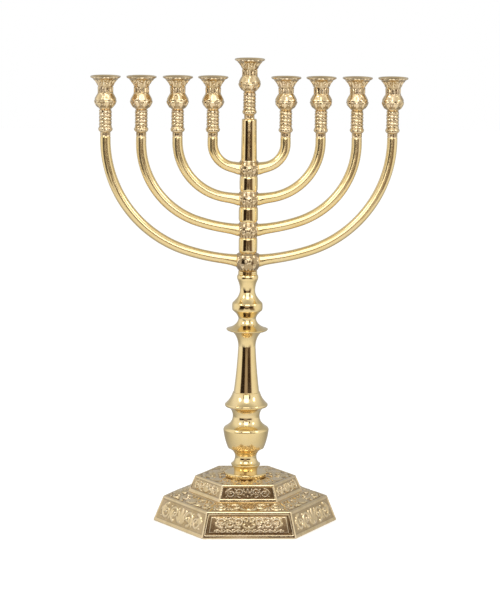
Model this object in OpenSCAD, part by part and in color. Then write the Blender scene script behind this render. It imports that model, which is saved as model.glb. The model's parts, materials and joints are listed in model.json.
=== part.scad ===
// Nine-branch candelabrum: eight side lights on four nested branches, one raised centre light,
// a turned stem held together by a tie rod, and a two-tier hexagonal base that is hollow below.
// Origin: centre of the base's underside. +Z is up and the branches lie along X.

/* [Base] */
// Distance between opposite corners of the base
base_corners = 151.2; // [146:0.2:156]
// Height of the lower tier's outer edge
lower_tier_h = 21; // [19:0.5:23]
// Height of the base's flat top
base_h = 38; // [37:0.5:40]
// Wall thickness of the hollow casting
base_wall = 3.4; // [3:0.1:4]
// Plain border round each sunk panel
panel_border = 2; // [1.5:0.1:3]
// Depth of the channel round each raised panel
panel_depth = 1.5; // [0.8:0.1:1.8]

/* [Stem] */
// Diameter of the smooth disc between the base and the stem
foot_disc_d = 34; // [30:0.5:38]
// Thickness of that disc
foot_disc_h = 3.2; // [2.5:0.1:4]
// Height of the urn-shaped lower knop
lower_knop_h = 52.4; // [52.4:0.1:54]
// Height of the tapered column
column_h = 64.4; // [64.4:0.1:66]
// Height of the upper knop, with its sharp flange and bead
upper_knop_h = 50; // [50:0.1:52]
// Diameter of the post's foot under the centre cup
post_d = 13; // [12:0.1:14]

/* [Branches] */
// Distance from one branch's centre line to the next one's on the stem
hub_pitch = 25; // [25:0.5:27]
// Height of a hub on the stem
hub_h = 13; // [13:0.1:13.6]
// Diameter of a branch
branch_d = 8.4; // [8:0.1:9]
// Distance from the stem to each branch's cups, inner branch first
branch_reach = [29.4, 57.8, 87, 115.8]; // [28:0.1:118]
// Radius of each branch's main bend
branch_bend = [19, 46, 67, 95]; // [18:0.5:96]
// Length of each branch's straight upright end
branch_end = [5.5, 3.5, 5, 2]; // [1.5:0.1:6]
// Height of the side cups' seats
side_seat_z = 317; // [316:0.5:320]
// Height of the centre cup's seat
centre_seat_z = 331.5; // [329:0.5:335]
// Widest radius of each spacer, upper spacer first
barrel_r = [7.45, 7.85, 7.65]; // [7.3:0.05:8.2]

/* [Cups] */
// Height of a cup from its seat to its rim
cup_h = 48.5; // [48.5:0.1:50]
// Diameter of a cup's rim
cup_rim_d = 24.4; // [24:0.1:26]
// Diameter of the candle socket
socket_d = 10; // [9.6:0.1:10.2]
// Depth of the straight part of the candle socket
socket_h = 15; // [12:0.5:15]
// Widest radius of a cup's bulb
bulb_r = 8.9; // [8.6:0.1:9.4]
// Number of raised rings on a cup's shank
ring_count = 5; // [3:1:7]

/* [Fasteners] */
// Diameter of the tie rod
rod_d = 6; // [5.5:0.1:6.2]
// Diameter of the studs that hold the cups
stud_d = 5; // [4.6:0.1:5.2]
// Length of a stud, half of it in the cup
stud_l = 12; // [10:0.5:12]
// Radial play of a rod or stud in its hole
play = 0.06; // [0.03:0.01:0.09]

/* [Hidden] */
$fn = 96;
cast_colour = [0.86, 0.74, 0.50];
polished_colour = [0.88, 0.72, 0.38];
steel_colour = [0.62, 0.62, 0.64];
cut = 0.5;

// Base outline: corner radii and heights of the two tiers
base_r = base_corners / 2;
base_lip_h = 1.2;
lower_top_r = base_r - 8.1;
ledge_in_r = base_r - 27.4;
ledge_in_z = lower_tier_h + 3.6;
upper_foot_r = base_r - 29;
upper_foot_z = lower_tier_h + 5.4;
upper_top_r = base_r - 34.2;
hex_apothem = cos(30);
boss_r = 11;
boss_z = base_h - 8;
washer_d = 18;
washer_h = 1.6;
nut_across_flats = 10;
nut_h = 5;

// Heights of the stacked pieces
disc_z = base_h;
lower_knop_z = disc_z + foot_disc_h;
column_z = lower_knop_z + lower_knop_h;
upper_knop_z = column_z + column_h;
stack_z = upper_knop_z + upper_knop_h;
outer_hub_drop = 8.7;
outer_hub_z = stack_z + outer_hub_drop;
post_z = hub_z(1) + hub_h / 2;
rod_foot_z = boss_z - washer_h - nut_h - 2;
rod_top_z = post_z + 20;
rod_hole_r = rod_d / 2 + play;
stud_hole_r = stud_d / 2 + play;
stud_hole_h = stud_l / 2 + 0.5;

// Height of a branch's centre line on the stem, branch 1 being the inner one
function hub_z(k) = outer_hub_z + (4 - k) * hub_pitch;

// Points of a quadratic curve from a to b that bends towards c, without its first point
function bend(a, c, b, n = 6) =
    [for (i = [1:n]) let (t = i / n) (1 - t) * (1 - t) * a + 2 * t * (1 - t) * c + t * t * b];

// Solid of revolution from an outline of [radius, height] points, closed on the axis
module turned(outline) {
    first = outline[0];
    last = outline[len(outline) - 1];
    rotate_extrude() polygon(concat([[0, first.y]], outline, [[0, last.y]]));
}

// A stack piece: a turned outline with the tie rod's hole through it
module stacked(z, h, outline) {
    translate([0, 0, z]) difference() {
        turned(outline);
        translate([0, 0, -cut]) cylinder(h = h + 2 * cut, r = rod_hole_r);
    }
}

// Six-sided frustum with its corners on the X axis
module hex_frustum(r_low, r_high, z_low, z_high) {
    translate([0, 0, z_low]) cylinder(h = z_high - z_low, r1 = r_low, r2 = r_high, $fn = 6);
}

// Trapezium inset by a margin from a face that is 2*w0 wide at the foot and 2*w1 at the top
module face_panel(w0, w1, slant, margin) {
    narrowing = (w0 - w1) / slant;
    low = w0 - narrowing * margin - margin;
    high = w1 + narrowing * margin - margin;
    polygon([[-low, margin], [low, margin], [high, slant - margin], [-high, slant - margin]]);
}

// Cut for one sloping face: a sunk channel round a raised panel, which is sunk a little inside
module panel_cut(r_low, r_high, z_low, z_high, border, channel) {
    run = (r_low - r_high) * hex_apothem;
    rise = z_high - z_low;
    slant = norm([run, rise]);
    rim = 1.2;
    rotate([0, 0, -90]) translate([r_low * hex_apothem, 0, z_low]) rotate([0, -atan2(run, rise), 0])
        rotate([90, 0, 90]) {
            translate([0, 0, -panel_depth]) linear_extrude(panel_depth + cut) difference() {
                face_panel(r_low / 2, r_high / 2, slant, border);
                face_panel(r_low / 2, r_high / 2, slant, border + channel);
            }
            translate([0, 0, -panel_depth / 2]) linear_extrude(panel_depth / 2 + cut)
                face_panel(r_low / 2, r_high / 2, slant, border + channel + rim);
        }
}

module base() {
    color(cast_colour) difference() {
        union() {
            hex_frustum(base_r, base_r, 0, base_lip_h);
            hex_frustum(base_r, lower_top_r, base_lip_h, lower_tier_h);
            hex_frustum(lower_top_r, ledge_in_r, lower_tier_h, ledge_in_z);
            hex_frustum(ledge_in_r, upper_foot_r, ledge_in_z, upper_foot_z);
            hex_frustum(upper_foot_r, upper_top_r, upper_foot_z, base_h);
        }
        difference() {
            union() {
                hex_frustum(base_r - base_wall * 1.3, lower_top_r - base_wall, -cut,
                            lower_tier_h - base_wall);
                hex_frustum(upper_foot_r - base_wall, upper_top_r - base_wall,
                            lower_tier_h - base_wall - cut, base_h - base_wall);
            }
            translate([0, 0, boss_z]) cylinder(h = base_h - boss_z, r = boss_r);
        }
        translate([0, 0, boss_z - cut]) cylinder(h = base_h, r = rod_hole_r);
        for (side = [0:5]) rotate([0, 0, 60 * side]) {
            panel_cut(base_r, lower_top_r, base_lip_h, lower_tier_h, panel_border, 3);
            panel_cut(upper_foot_r, upper_top_r, upper_foot_z, base_h, panel_border, 0.6);
        }
    }
}

module clamp_washer() {
    color(steel_colour) translate([0, 0, boss_z - washer_h]) difference() {
        cylinder(h = washer_h, r = washer_d / 2);
        translate([0, 0, -cut]) cylinder(h = washer_h + 2 * cut, r = rod_hole_r);
    }
}

module clamp_nut() {
    color(steel_colour) translate([0, 0, boss_z - washer_h - nut_h]) difference() {
        cylinder(h = nut_h, r = nut_across_flats / 2 / hex_apothem, $fn = 6);
        translate([0, 0, -cut]) cylinder(h = nut_h + 2 * cut, r = rod_hole_r);
    }
}

module tie_rod() {
    color(steel_colour) translate([0, 0, rod_foot_z])
        cylinder(h = rod_top_z - rod_foot_z, r = rod_d / 2);
}

module foot_disc() {
    r = foot_disc_d / 2;
    h = foot_disc_h;
    edge = 1.2;
    color(polished_colour) stacked(disc_z, h, concat(
        [[r - 0.4, 0], [r, 0.4]],
        [[r, h - edge]],
        bend([r, h - edge], [r, h], [r - edge, h])
    ));
}

// Urn on a beaded neck, with a cove above it that opens under the column's foot
module lower_knop() {
    color(polished_colour) stacked(lower_knop_z, lower_knop_h, concat(
        [[9.6, 0], [9.6, 1.2]],
        bend([9.6, 1.2], [9.8, 3.8], [12, 6]),
        [[12, 6.8]],
        bend([12, 6.8], [8.8, 8.6], [8.8, 13.2]),
        bend([8.8, 13.2], [9.2, 17.6], [14.7, 20]),
        bend([14.7, 20], [17.7, 27], [18.6, 35.2]),
        bend([18.6, 35.2], [18.5, 36.6], [17.2, 37.6], 4),
        bend([17.2, 37.6], [11, 41], [11, 46.6]),
        bend([11, 46.6], [11.1, 50], [12.9, lower_knop_h])
    ));
}

// Tapered column with a flared foot, a fine step above it and a spreading head
module column() {
    color(polished_colour) stacked(column_z, column_h, concat(
        [[12.9, 0]],
        bend([12.9, 0], [14.6, 1.5], [17, 2.2], 4),
        [[17.55, 3.2], [17.4, 4.2]],
        bend([17.4, 4.2], [12.7, 8.4], [11.2, 13.6]),
        [[10.5, 14.4], [10.35, 15]],
        bend([10.35, 15], [8, 33], [7.1, 52], 8),
        bend([7.1, 52], [7.2, 60], [12.4, column_h])
    ));
}

// Sharp flange, ogee, flat-sided knop, slender cove, bead and a collar of two bands
module upper_knop() {
    color(polished_colour) stacked(upper_knop_z, upper_knop_h, concat(
        [[12.6, 0], [15.6, 0.6]],
        [[16.9, 1.5], [16.9, 2.1]],
        bend([16.9, 2.1], [8.4, 4.4], [7.2, 10.2]),
        bend([7.2, 10.2], [7.3, 13.6], [11.8, 17.2]),
        [[12.5, 18.6], [12.5, 22.4], [11.8, 23.9]],
        bend([11.8, 23.9], [6.2, 29], [6.2, 34]),
        bend([6.2, 34], [6.3, 38.6], [8.2, 42.4]),
        bend([8.2, 42.4], [9.2, 44.8], [8.1, 46.6], 5),
        [[7.55, 47], [7.75, 47.2], [7.75, 48.2], [7.45, 48.4]],
        [[7.45, 48.5], [7.75, 48.7], [7.75, 49.7], [7.4, upper_knop_h]]
    ));
}

// Flat-sided spacer with rounded shoulders, between the hubs of branches k and k + 1
module spacer(k) {
    h = hub_pitch - hub_h;
    wide_r = barrel_r[k - 1];
    end_r = 6.6;
    shoulder = 2;
    z = hub_z(k) - hub_h / 2 - h;
    color(polished_colour) stacked(z, h, concat(
        [[end_r, 0]],
        bend([end_r, 0], [wide_r - 0.1, 0.1], [wide_r - 0.05, shoulder]),
        [[wide_r, h / 2]],
        [[wide_r - 0.05, h - shoulder]],
        bend([wide_r - 0.05, h - shoulder], [wide_r - 0.1, h - 0.1], [end_r, h])
    ));
}

// Outline of a hub about the branch's centre line, from its foot to its top
function hub_outline(r, drop) = concat(
    [[7, -drop]],
    bend([7, -drop], [r - 0.6, -drop + 1.4], [r, -2.5]),
    bend([r, -2.5], [r + 0.3, 0.6], [r - 0.4, 3]),
    bend([r - 0.4, 3], [r - 1, 5.4], [6.8, hub_h / 2])
);

// Round bar bent about a point on the XZ plane, from one angle to another, both from straight down
module bent_bar(centre_x, centre_z, bend_r, d, from, to) {
    translate([centre_x, 0, centre_z]) rotate([90, 0, 0])
        rotate_extrude(start = from - 90, angle = to - from)
            translate([bend_r, 0]) circle(d = d);
}

// Branch k: two upright ends, two main bends and one shallow bend through the hub. Each bar runs
// a little way into the next, which is a hair thicker, so that they join without a seam.
module arm(k) {
    reach = branch_reach[k - 1];
    bend_r = branch_bend[k - 1];
    bend_z = side_seat_z - branch_end[k - 1];
    bend_x = reach - bend_r;
    z = hub_z(k);
    depth = bend_z - z;
    shallow_r = (bend_x * bend_x + depth * depth - bend_r * bend_r) / (2 * (depth - bend_r));
    swing = atan2(bend_x, z + shallow_r - bend_z);
    drop = k == 4 ? outer_hub_drop : hub_h / 2;
    r = k == 4 ? 10.4 : 8.8;
    hair = 0.04;
    tuck = 0.5;
    main_tuck = tuck / bend_r * 180 / PI;
    shallow_tuck = swing + tuck / shallow_r * 180 / PI;
    root_h = 8;
    root_angle = asin((r + 1) / shallow_r);
    color(polished_colour) difference() {
        union() {
            translate([0, 0, z]) turned(hub_outline(r, drop));
            bent_bar(0, z + shallow_r, shallow_r, branch_d - 2 * hair, -shallow_tuck, shallow_tuck);
            for (turn = [0, 180]) rotate([0, 0, turn]) {
                bent_bar(bend_x, bend_z, bend_r, branch_d - hair, swing, 90 + main_tuck);
                translate([reach, 0, bend_z]) cylinder(h = side_seat_z - bend_z, d = branch_d);
                translate([0, 0, z + shallow_r]) rotate([0, -root_angle, 0])
                    translate([-root_h / 2, 0, -shallow_r]) rotate([0, 90, 0])
                        cylinder(h = root_h, r1 = 5.8, r2 = branch_d / 2 + 0.1);
            }
        }
        translate([0, 0, z - drop - cut]) cylinder(h = drop + hub_h, r = rod_hole_r);
        for (side = [-1, 1])
            translate([side * reach, 0, side_seat_z - stud_hole_h])
                cylinder(h = stud_hole_h + cut, r = stud_hole_r);
    }
}

// Plain post that carries the centre cup and closes the stack on the tie rod
module post() {
    r = post_d / 2;
    h = centre_seat_z - post_z;
    color(polished_colour) translate([0, 0, post_z]) difference() {
        turned([[r, 0], [r, 3], [r - 0.2, 12], [r - 0.45, h - 1.2], [r - 0.7, h]]);
        translate([0, 0, -cut]) cylinder(h = rod_top_z - post_z + 1 + cut, r = rod_hole_r);
        translate([0, 0, h - stud_hole_h]) cylinder(h = stud_hole_h + cut, r = stud_hole_r);
    }
}

// Outline of the ringed shank between two heights
function shank(z_low, z_high) =
    let (pitch = (z_high - z_low) / ring_count)
    [for (i = [0:ring_count - 1]) for (p = [[4.85, 0], [5.3, 0.3], [5.3, 0.7]])
        [p.x, z_low + (i + p.y) * pitch]];

// Cup, seated at height 0: neck, bead, ringed shank, bulb with an edge round its middle, throat
// and flaring bell
module cup() {
    rim_r = cup_rim_d / 2;
    socket_r = socket_d / 2;
    socket_top_z = 40;
    shank_z = 7.2;
    bulb_z = 22.4;
    bulb_mid_z = 29;
    throat_z = 36;
    throat_r = 5.95;
    lip = 0.6;
    color(cast_colour) difference() {
        turned(concat(
            [[4.15, 0], [4.15, 3.6]],
            [[5.2, 4.2], [5.8, 5], [5.8, 6.4], [5.3, shank_z]],
            shank(shank_z, bulb_z - 1.2),
            [[4.7, bulb_z - 0.8], [5.2, bulb_z]],
            bend([5.2, bulb_z], [6.3, 25], [bulb_r - 0.5, bulb_mid_z - 1.4], 4),
            [[bulb_r, bulb_mid_z - 0.2], [bulb_r, bulb_mid_z + 0.2]],
            [[bulb_r - 0.6, bulb_mid_z + 1.4]],
            bend([bulb_r - 0.6, bulb_mid_z + 1.4], [6.6, 32.6], [throat_r, throat_z], 5),
            [[throat_r, 38]],
            bend([throat_r, 38], [6.3, 43.4], [rim_r - 0.2, cup_h - 0.9], 8),
            [[rim_r, cup_h - 0.4], [rim_r, cup_h]]
        ));
        translate([0, 0, -cut]) cylinder(h = stud_hole_h + cut, r = stud_hole_r);
        translate([0, 0, socket_top_z - socket_h])
            cylinder(h = socket_h + cut, r = socket_r);
        translate([0, 0, socket_top_z]) turned(concat(
            [[socket_r, 0]],
            bend([socket_r, 0], [6.4, 4.2], [rim_r - lip, cup_h - socket_top_z], 6),
            [[rim_r - lip, cup_h - socket_top_z + cut]]
        ));
    }
}

module cup_at(x, z) {
    translate([x, 0, z]) cup();
}

module stud_at(x, z) {
    color(polished_colour) translate([x, 0, z - stud_l / 2]) cylinder(h = stud_l, d = stud_d);
}

base();
clamp_washer();
clamp_nut();
tie_rod();
foot_disc();
lower_knop();
column();
upper_knop();
arm(4);  // arm_4
spacer(3);  // spacer_3
arm(3);  // arm_3
spacer(2);  // spacer_2
arm(2);  // arm_2
spacer(1);  // spacer_1
arm(1);  // arm_1
post();
cup_at(0, centre_seat_z);  // cup_centre
stud_at(0, centre_seat_z);  // stud_centre
cup_at(-branch_reach[0], side_seat_z);  // cup_left_1
cup_at(-branch_reach[1], side_seat_z);  // cup_left_2
cup_at(-branch_reach[2], side_seat_z);  // cup_left_3
cup_at(-branch_reach[3], side_seat_z);  // cup_left_4
cup_at(branch_reach[0], side_seat_z);  // cup_right_1
cup_at(branch_reach[1], side_seat_z);  // cup_right_2
cup_at(branch_reach[2], side_seat_z);  // cup_right_3
cup_at(branch_reach[3], side_seat_z);  // cup_right_4
stud_at(-branch_reach[0], side_seat_z);  // stud_left_1
stud_at(-branch_reach[1], side_seat_z);  // stud_left_2
stud_at(-branch_reach[2], side_seat_z);  // stud_left_3
stud_at(-branch_reach[3], side_seat_z);  // stud_left_4
stud_at(branch_reach[0], side_seat_z);  // stud_right_1
stud_at(branch_reach[1], side_seat_z);  // stud_right_2
stud_at(branch_reach[2], side_seat_z);  // stud_right_3
stud_at(branch_reach[3], side_seat_z);  // stud_right_4
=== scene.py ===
import json
import math

import bpy
import numpy as np
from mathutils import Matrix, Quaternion, Vector


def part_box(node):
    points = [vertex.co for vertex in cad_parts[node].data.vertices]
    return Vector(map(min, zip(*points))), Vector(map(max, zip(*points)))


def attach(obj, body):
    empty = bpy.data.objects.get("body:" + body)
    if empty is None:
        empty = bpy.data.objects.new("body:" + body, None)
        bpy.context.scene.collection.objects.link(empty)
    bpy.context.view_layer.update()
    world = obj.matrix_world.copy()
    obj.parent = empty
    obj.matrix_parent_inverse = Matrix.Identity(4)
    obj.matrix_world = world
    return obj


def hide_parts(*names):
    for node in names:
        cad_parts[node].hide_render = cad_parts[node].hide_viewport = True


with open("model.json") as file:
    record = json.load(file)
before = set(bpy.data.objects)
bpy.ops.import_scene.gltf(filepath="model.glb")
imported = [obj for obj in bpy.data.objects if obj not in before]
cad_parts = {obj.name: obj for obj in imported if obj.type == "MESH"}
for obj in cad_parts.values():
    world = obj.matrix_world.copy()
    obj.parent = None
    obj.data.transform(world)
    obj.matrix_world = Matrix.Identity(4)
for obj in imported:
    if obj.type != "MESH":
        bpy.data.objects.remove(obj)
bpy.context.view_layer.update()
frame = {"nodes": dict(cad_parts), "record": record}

MM = 0.001
TAU = 2 * math.pi
HEX = math.cos(math.pi / 6)


# ---------------------------------------------------------------- numbers and noise

def node_box(name):
    """Lowest and highest corner of a CAD node, in millimetres."""
    low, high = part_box(name)
    return np.array(low) / MM, np.array(high) / MM


def step(a, b, x):
    """Smooth rise from 0 at a to 1 at b."""
    t = np.clip((x - a) / (b - a), 0, 1)
    return t * t * (3 - 2 * t)


def bend(a, c, b, n=14):
    """Points of a quadratic curve from a to b that bends towards c, without the first."""
    a, b, c = np.array(a, float), np.array(b, float), np.array(c, float)
    t = (np.arange(n)[:, None] + 1) / n
    return [tuple(p) for p in (1 - t) ** 2 * a + 2 * t * (1 - t) * c + t ** 2 * b]


def lattice(ix, iy, iz, seed):
    """A fixed number from -1 to 1 for each whole (ix, iy, iz)."""
    h = (ix * 374761393 + iy * 668265263 + iz * 2147483647 + seed * 1274126177) & 0xFFFFFFFF
    h = ((h ^ (h >> 13)) * 1274126177) & 0xFFFFFFFF
    return ((h ^ (h >> 16)) & 0xFFFF) / 32767.5 - 1


def noise(x, y, z, size, seed=0):
    """Smooth noise from -1 to 1 with features about size millimetres across."""
    p = [np.asarray(v, float) / size + 71.3 for v in (x, y, z)]
    i = [np.floor(v).astype(np.int64) for v in p]
    f = [v - w for v, w in zip(p, i)]
    f = [v * v * (3 - 2 * v) for v in f]
    total = 0
    for dx in (0, 1):
        for dy in (0, 1):
            for dz in (0, 1):
                w = ((f[0] if dx else 1 - f[0]) * (f[1] if dy else 1 - f[1])
                     * (f[2] if dz else 1 - f[2]))
                total = total + w * lattice(i[0] + dx, i[1] + dy, i[2] + dz, seed)
    return total


def rough(p, size, seed, octaves=3):
    """Noise at the points p in several sizes, each half as large and half as strong."""
    total, gain = 0, 1.0
    for k in range(octaves):
        total = total + gain * noise(p[..., 0], p[..., 1], p[..., 2], size / 2 ** k, seed + k)
        gain *= 0.5
    return total


def even(points, spacing):
    """The polyline with its own points and more between them, at most about spacing apart."""
    points = np.array(points, float)
    out = [points[0]]
    for a, b in zip(points[:-1], points[1:]):
        n = max(1, int(round(np.linalg.norm(b - a) / spacing)))
        out += [a + (b - a) * (i + 1) / n for i in range(n)]
    return np.array(out)


# ---------------------------------------------------------------- meshes

def mesh_object(name, verts, faces, smooth=True, sharp=None, attributes=None):
    """A mesh from points in millimetres; faces is a list of index arrays of quads or triangles."""
    mesh = bpy.data.meshes.new(name)
    faces = [np.asarray(f) for f in faces if len(f)]
    loops = np.concatenate([f.ravel() for f in faces])
    sizes = np.concatenate([np.full(len(f), f.shape[1]) for f in faces])
    starts = np.concatenate([[0], np.cumsum(sizes)[:-1]])
    mesh.vertices.add(len(verts))
    mesh.vertices.foreach_set("co", (np.asarray(verts) * MM).astype(np.float32).ravel())
    mesh.loops.add(len(loops))
    mesh.loops.foreach_set("vertex_index", loops.astype(np.int32))
    mesh.polygons.add(len(sizes))
    mesh.polygons.foreach_set("loop_start", starts.astype(np.int32))
    mesh.polygons.foreach_set("use_smooth", np.full(len(sizes), smooth))
    mesh.update(calc_edges=True)
    mesh.validate()
    for key, values in (attributes or {}).items():
        layer = mesh.attributes.new(key, "FLOAT", "POINT")
        layer.data.foreach_set("value", np.asarray(values, np.float32).ravel())
    if sharp:
        mesh.set_sharp_from_angle(angle=math.radians(sharp))
    obj = bpy.data.objects.new(name, mesh)
    bpy.context.scene.collection.objects.link(obj)
    return obj


def grid_faces(rows, cols, start=0, wrap_rows=False, wrap_cols=True, flip=False):
    """Quads of a grid of rows x cols points, closed along the columns or rows as told."""
    r = np.arange(rows if wrap_rows else rows - 1)
    c = np.arange(cols if wrap_cols else cols - 1)
    r, c = np.meshgrid(r, c, indexing="ij")
    r2, c2 = (r + 1) % rows, (c + 1) % cols
    quads = np.stack([r * cols + c, r * cols + c2, r2 * cols + c2, r2 * cols + c], -1)
    quads = quads.reshape(-1, 4) + start
    return quads[:, ::-1] if flip else quads


def revolve(name, outline, centre, segments, shape=None, sharp=38, stain=1.0, painted_inside_shade=0.0):
    """A closed ring-shaped or solid turned piece. outline is a loop of (radius, height) points that
    goes up the outside and back down the bore. shape(theta, r, z) gives the shift outwards, stain
    how strongly it drives the patina, and painted_inside_shade how much painted shade each outline
    point adds, in the same brown as the patina."""
    outline = np.array(outline, float)
    theta = np.arange(segments) * TAU / segments
    r = np.repeat(outline[:, :1], segments, 1)
    z = np.repeat(outline[:, 1:], segments, 1)
    t = np.repeat(theta[None], len(outline), 0)
    relief = np.zeros_like(r)
    if shape:
        along = np.roll(outline, -1, 0) - np.roll(outline, 1, 0)
        along /= np.maximum(np.linalg.norm(along, axis=1, keepdims=True), 1e-9)
        relief = shape(t, r, z)
        r = r + relief * along[:, 1:]
        z = z - relief * along[:, :1]
    verts = np.stack([centre[0] + r * np.cos(t), centre[1] + r * np.sin(t), centre[2] + z], -1)
    faces = [grid_faces(len(outline), segments, wrap_rows=True)]
    # the relief attribute: patina from the relief, less the painted shade inside the cups
    patina_and_shade = relief * stain - np.reshape(painted_inside_shade, (-1, 1))
    return mesh_object(name, verts.reshape(-1, 3), faces, sharp=sharp,
                       attributes={"relief": patina_and_shade})


def with_bore(outside, bore, spacing=0.45):
    """Loop for revolve: the outside from its foot to its top, then the bore back down."""
    outside = even(outside, spacing)
    low, high = outside[0], outside[-1]
    back = even([(high[0], high[1]), (bore, high[1]), (bore, low[1]), (low[0], low[1])], 2.5)
    return np.concatenate([outside, back[1:-1]])


def finish_piece(obj, body, slot, material, *nodes):
    """Ties a piece to its body, gives it the material and hides its CAD nodes; slot is not used."""
    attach(obj, body)
    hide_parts(*nodes)
    obj.data.materials.clear()
    obj.data.materials.append(material)
    return obj


# ---------------------------------------------------------------- cast ornament
# A stroke is (points, half widths, height, depth of its middle vein) in a panel's plane.

def stroke(points, widths, height, vein=0.0):
    """One stroke from plain lists."""
    return np.array(points, float), np.array(widths, float), height, vein


def scroll(x, y, size, turns=1.35, start=0.0, way=1, width=0.9, height=0.6):
    """A spiral stem that ends in a ball at its centre."""
    n = 22
    t = np.linspace(0, 1, n)
    r = size * (1 - t) ** 0.85 + 0.12 * size
    a = start + way * t * turns * TAU
    pts = np.stack([x + r * np.cos(a), y + r * np.sin(a)], -1)
    w = width * (1 - 0.45 * t)
    w[-1] = width * 0.95
    return stroke(pts, w, height)


def leaf(x, y, length, angle, width, curl=0.0, height=0.6, vein=0.35):
    """A veined leaf that grows from (x, y) at an angle and curls."""
    n = 9
    t = np.linspace(0, 1, n)
    a = angle + curl * t
    dx, dy = np.cos(a), np.sin(a)
    pts = np.stack([x + np.cumsum(dx) * length / n, y + np.cumsum(dy) * length / n], -1)
    w = width * np.sin(np.pi * (0.12 + 0.88 * t)) ** 0.8 + 0.08 * width
    return stroke(pts, w, height, vein)


def ball(x, y, r, height=0.6):
    """A round boss."""
    return stroke([(x - 0.01, y), (x + 0.01, y)], [r, r], height)


def flower(x, y, r, petals=6, height=0.65, start=0.0):
    """Petals round a ball."""
    out = [leaf(x + 0.2 * r * math.cos(a), y + 0.2 * r * math.sin(a), 0.8 * r, a, 0.36 * r,
                height=height) for a in start + np.arange(petals) * TAU / petals]
    return out + [ball(x, y, 0.27 * r, height * 1.2)]


def ornament(u, v, strokes):
    """Height of the ornament at each (u, v)."""
    total = np.zeros_like(u)
    for pts, wid, height, vein in strokes:
        pad = wid.max()
        sel = ((u > pts[:, 0].min() - pad) & (u < pts[:, 0].max() + pad)
               & (v > pts[:, 1].min() - pad) & (v < pts[:, 1].max() + pad))
        if not sel.any():
            continue
        x, y = u[sel], v[sel]
        best = np.zeros_like(x)
        for i in range(len(pts) - 1):
            a, ab = pts[i], pts[i + 1] - pts[i]
            t = np.clip(((x - a[0]) * ab[0] + (y - a[1]) * ab[1]) / max(ab @ ab, 1e-9), 0, 1)
            d = np.hypot(x - a[0] - t * ab[0], y - a[1] - t * ab[1])
            w = wid[i] * (1 - t) + wid[i + 1] * t
            q = d / np.maximum(w, 1e-6)
            h = height * np.sqrt(np.clip(1 - q * q, 0, 1))
            if vein:
                h = h * (1 - vein * np.exp(-(q / 0.22) ** 2))
            best = np.maximum(best, h)
        total[sel] = np.maximum(total[sel], best)
    return total


def panel_strokes(half, height, seed, lush=1.0):
    """Palmette in the middle, scrolls and leaves to both sides, mirrored, in a panel that is 2*half
    wide and height high with its foot at 0."""
    r = np.random.default_rng(seed)
    out = []
    mid = height * 0.5
    for a, k in ((0.5, 1.0), (0.33, 0.85), (0.67, 0.85), (0.17, 0.62), (0.83, 0.62)):
        out.append(leaf(0, height * 0.1, height * 0.86 * k, a * math.pi, height * 0.12 * lush))
    out.append(ball(0, height * 0.16, height * 0.12, 0.8))
    size = height * 0.4
    first = height * 0.74
    room = half - 1.3 * size - first
    steps = max(0, round(room / (2.02 * size)))
    pitch = room / max(steps, 1)
    size = min(size, pitch / 1.9) if steps else size
    for i in range(steps + 1):
        x, up = first + i * pitch, -1 if i % 2 else 1
        for side in (-1, 1):
            start = math.pi * (1.5 if up > 0 else 0.5)
            out.append(scroll(side * x, mid + up * height * 0.03, size, 1.2 + 0.2 * r.random(),
                              start, side * up, size * 0.2 * lush, 0.62))
            for k in range(3):
                a = (0.2 + 0.3 * k) * math.pi * up
                a = a if side > 0 else math.pi - a
                out.append(leaf(side * (x + size * 0.75), mid - up * height * 0.24, size * 0.95,
                                a, size * 0.2 * lush, side * up * 0.5))
            out.append(ball(side * (x + size * 1.05), mid + up * height * 0.34, size * 0.17, 0.55))
            out.append(ball(side * (x - size * 0.05), mid + up * height * 0.04, size * 0.2, 0.8))
            out.append(leaf(side * (x - size * 0.95), mid + up * height * 0.42, size * 0.7,
                            -up * math.pi * 0.5, size * 0.14 * lush, side * 0.5))
    return out


def vine_strokes(half, height, pitch, h=0.45):
    """A waving stem with a leaf in each bend."""
    n = max(2, int(2 * half / pitch))
    pitch = 2 * half / n
    x = np.linspace(-half, half, n * 8)
    y = height * (0.5 + 0.26 * np.sin((x + half) / pitch * math.pi))
    out = [stroke(np.stack([x, y], -1), np.full(len(x), height * 0.1), h)]
    for i in range(n):
        c = -half + pitch * (i + 0.5)
        up = 1 if i % 2 else -1
        out.append(leaf(c - pitch * 0.15, height * (0.5 - up * 0.02), height * 0.46,
                        up * math.pi * 0.42, height * 0.16, -up * 0.4, h))
        out.append(ball(c + pitch * 0.3, height * (0.5 + up * 0.28), height * 0.12, h))
    return out


# ---------------------------------------------------------------- materials

def shader(name):
    """A new material with its tree, its Principled shader and object coordinates."""
    mat = bpy.data.materials.new(name)
    mat.use_nodes = True
    tree = mat.node_tree
    tree.nodes.clear()
    out = tree.nodes.new("ShaderNodeOutputMaterial")
    bsdf = tree.nodes.new("ShaderNodeBsdfPrincipled")
    tree.links.new(bsdf.outputs["BSDF"], out.inputs["Surface"])
    coord = tree.nodes.new("ShaderNodeTexCoord").outputs["Object"]
    return mat, tree, bsdf, coord


def add(tree, kind, inputs=None, **props):
    """A new node; inputs are sockets to link or values to set."""
    n = tree.nodes.new("ShaderNode" + kind)
    for key, value in props.items():
        setattr(n, key, value)
    for key, value in (inputs or {}).items():
        if isinstance(value, bpy.types.NodeSocket):
            tree.links.new(value, n.inputs[key])
        else:
            n.inputs[key].default_value = value
    return n


def noise_tex(tree, coord, scale, detail=3.0, rough=0.55, stretch=None):
    """Noise in object space, finer with a larger scale and squeezed along each axis by stretch."""
    if stretch:
        coord = add(tree, "Mapping", {"Vector": coord, "Scale": stretch}).outputs["Vector"]
    return add(tree, "TexNoise", {"Vector": coord, "Scale": scale, "Detail": detail,
                                  "Roughness": rough}).outputs["Fac"]


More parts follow.
